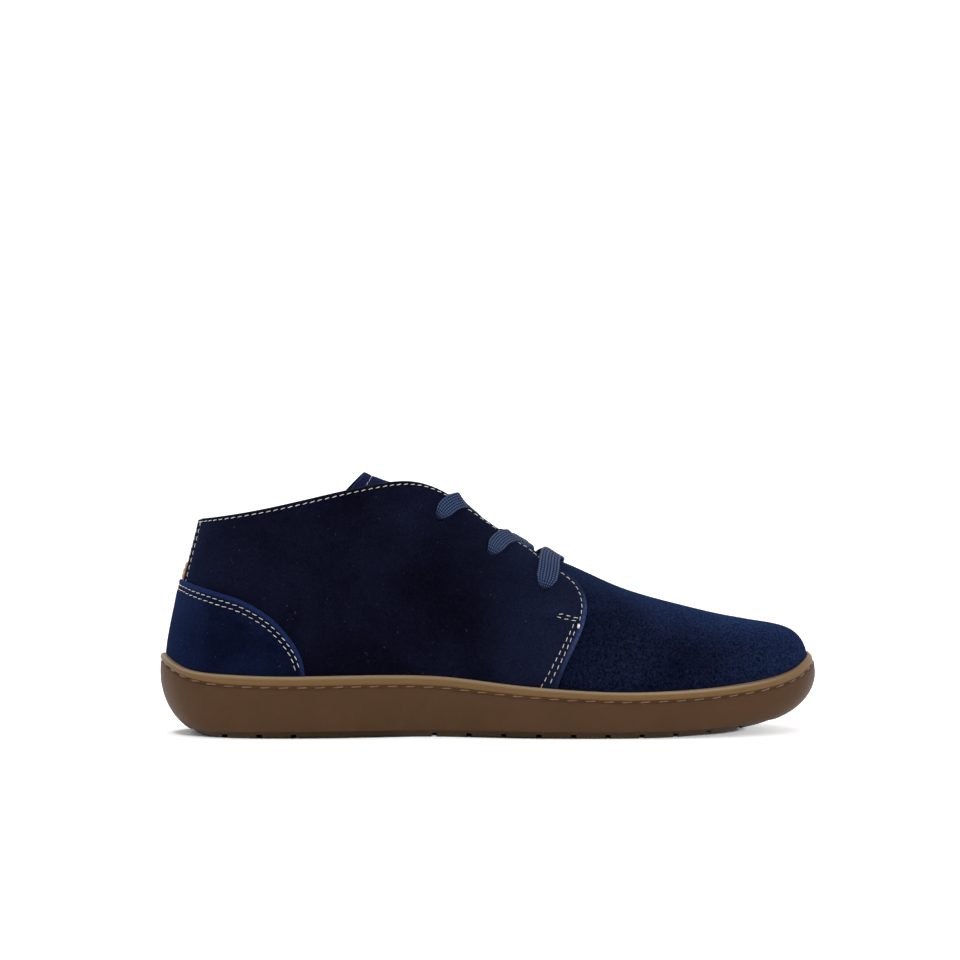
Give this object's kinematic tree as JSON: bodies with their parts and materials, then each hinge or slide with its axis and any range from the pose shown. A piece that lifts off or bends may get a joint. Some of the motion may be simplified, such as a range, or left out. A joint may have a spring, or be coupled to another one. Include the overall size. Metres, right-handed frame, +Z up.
{
  "type": "lace-up chukka boot",
  "caption": "Left ankle-high lace-up chukka boot: suede upper with quarters and heel counter, curved tongue, flat lace, and a stitched rubber cup sole with a grooved tread.",
  "frame": {"origin": "on the ground, under the middle of the sole's length and width", "axes": "+X from heel to toe, -Y to the inner side of the left foot, +Z up"},
  "size_m": [0.285, 0.1032, 0.1126],
  "materials": {
    "gum_rubber": "brown gum rubber, satin",
    "insole_leather": "matte lining leather",
    "suede_navy": "navy suede with a short nap",
    "suede_dark": "darker navy suede with a short nap",
    "tan_leather": "matte tan leather",
    "lace_blue": "flat woven cotton lace"
  },
  "bodies": {
    "root": {"cupsole": "gum_rubber", "insole": "insole_leather", "upper": "suede_navy", "tongue": "suede_navy", "quarter_inner": "suede_dark", "quarter_outer": "suede_dark", "heel_counter": "suede_navy", "back_strip": "suede_dark", "back_tab": "tan_leather", "lace_bar": "lace_blue", "lace_cross_lower": "lace_blue", "lace_cross_upper": "lace_blue"}
  },
  "joints": []
}
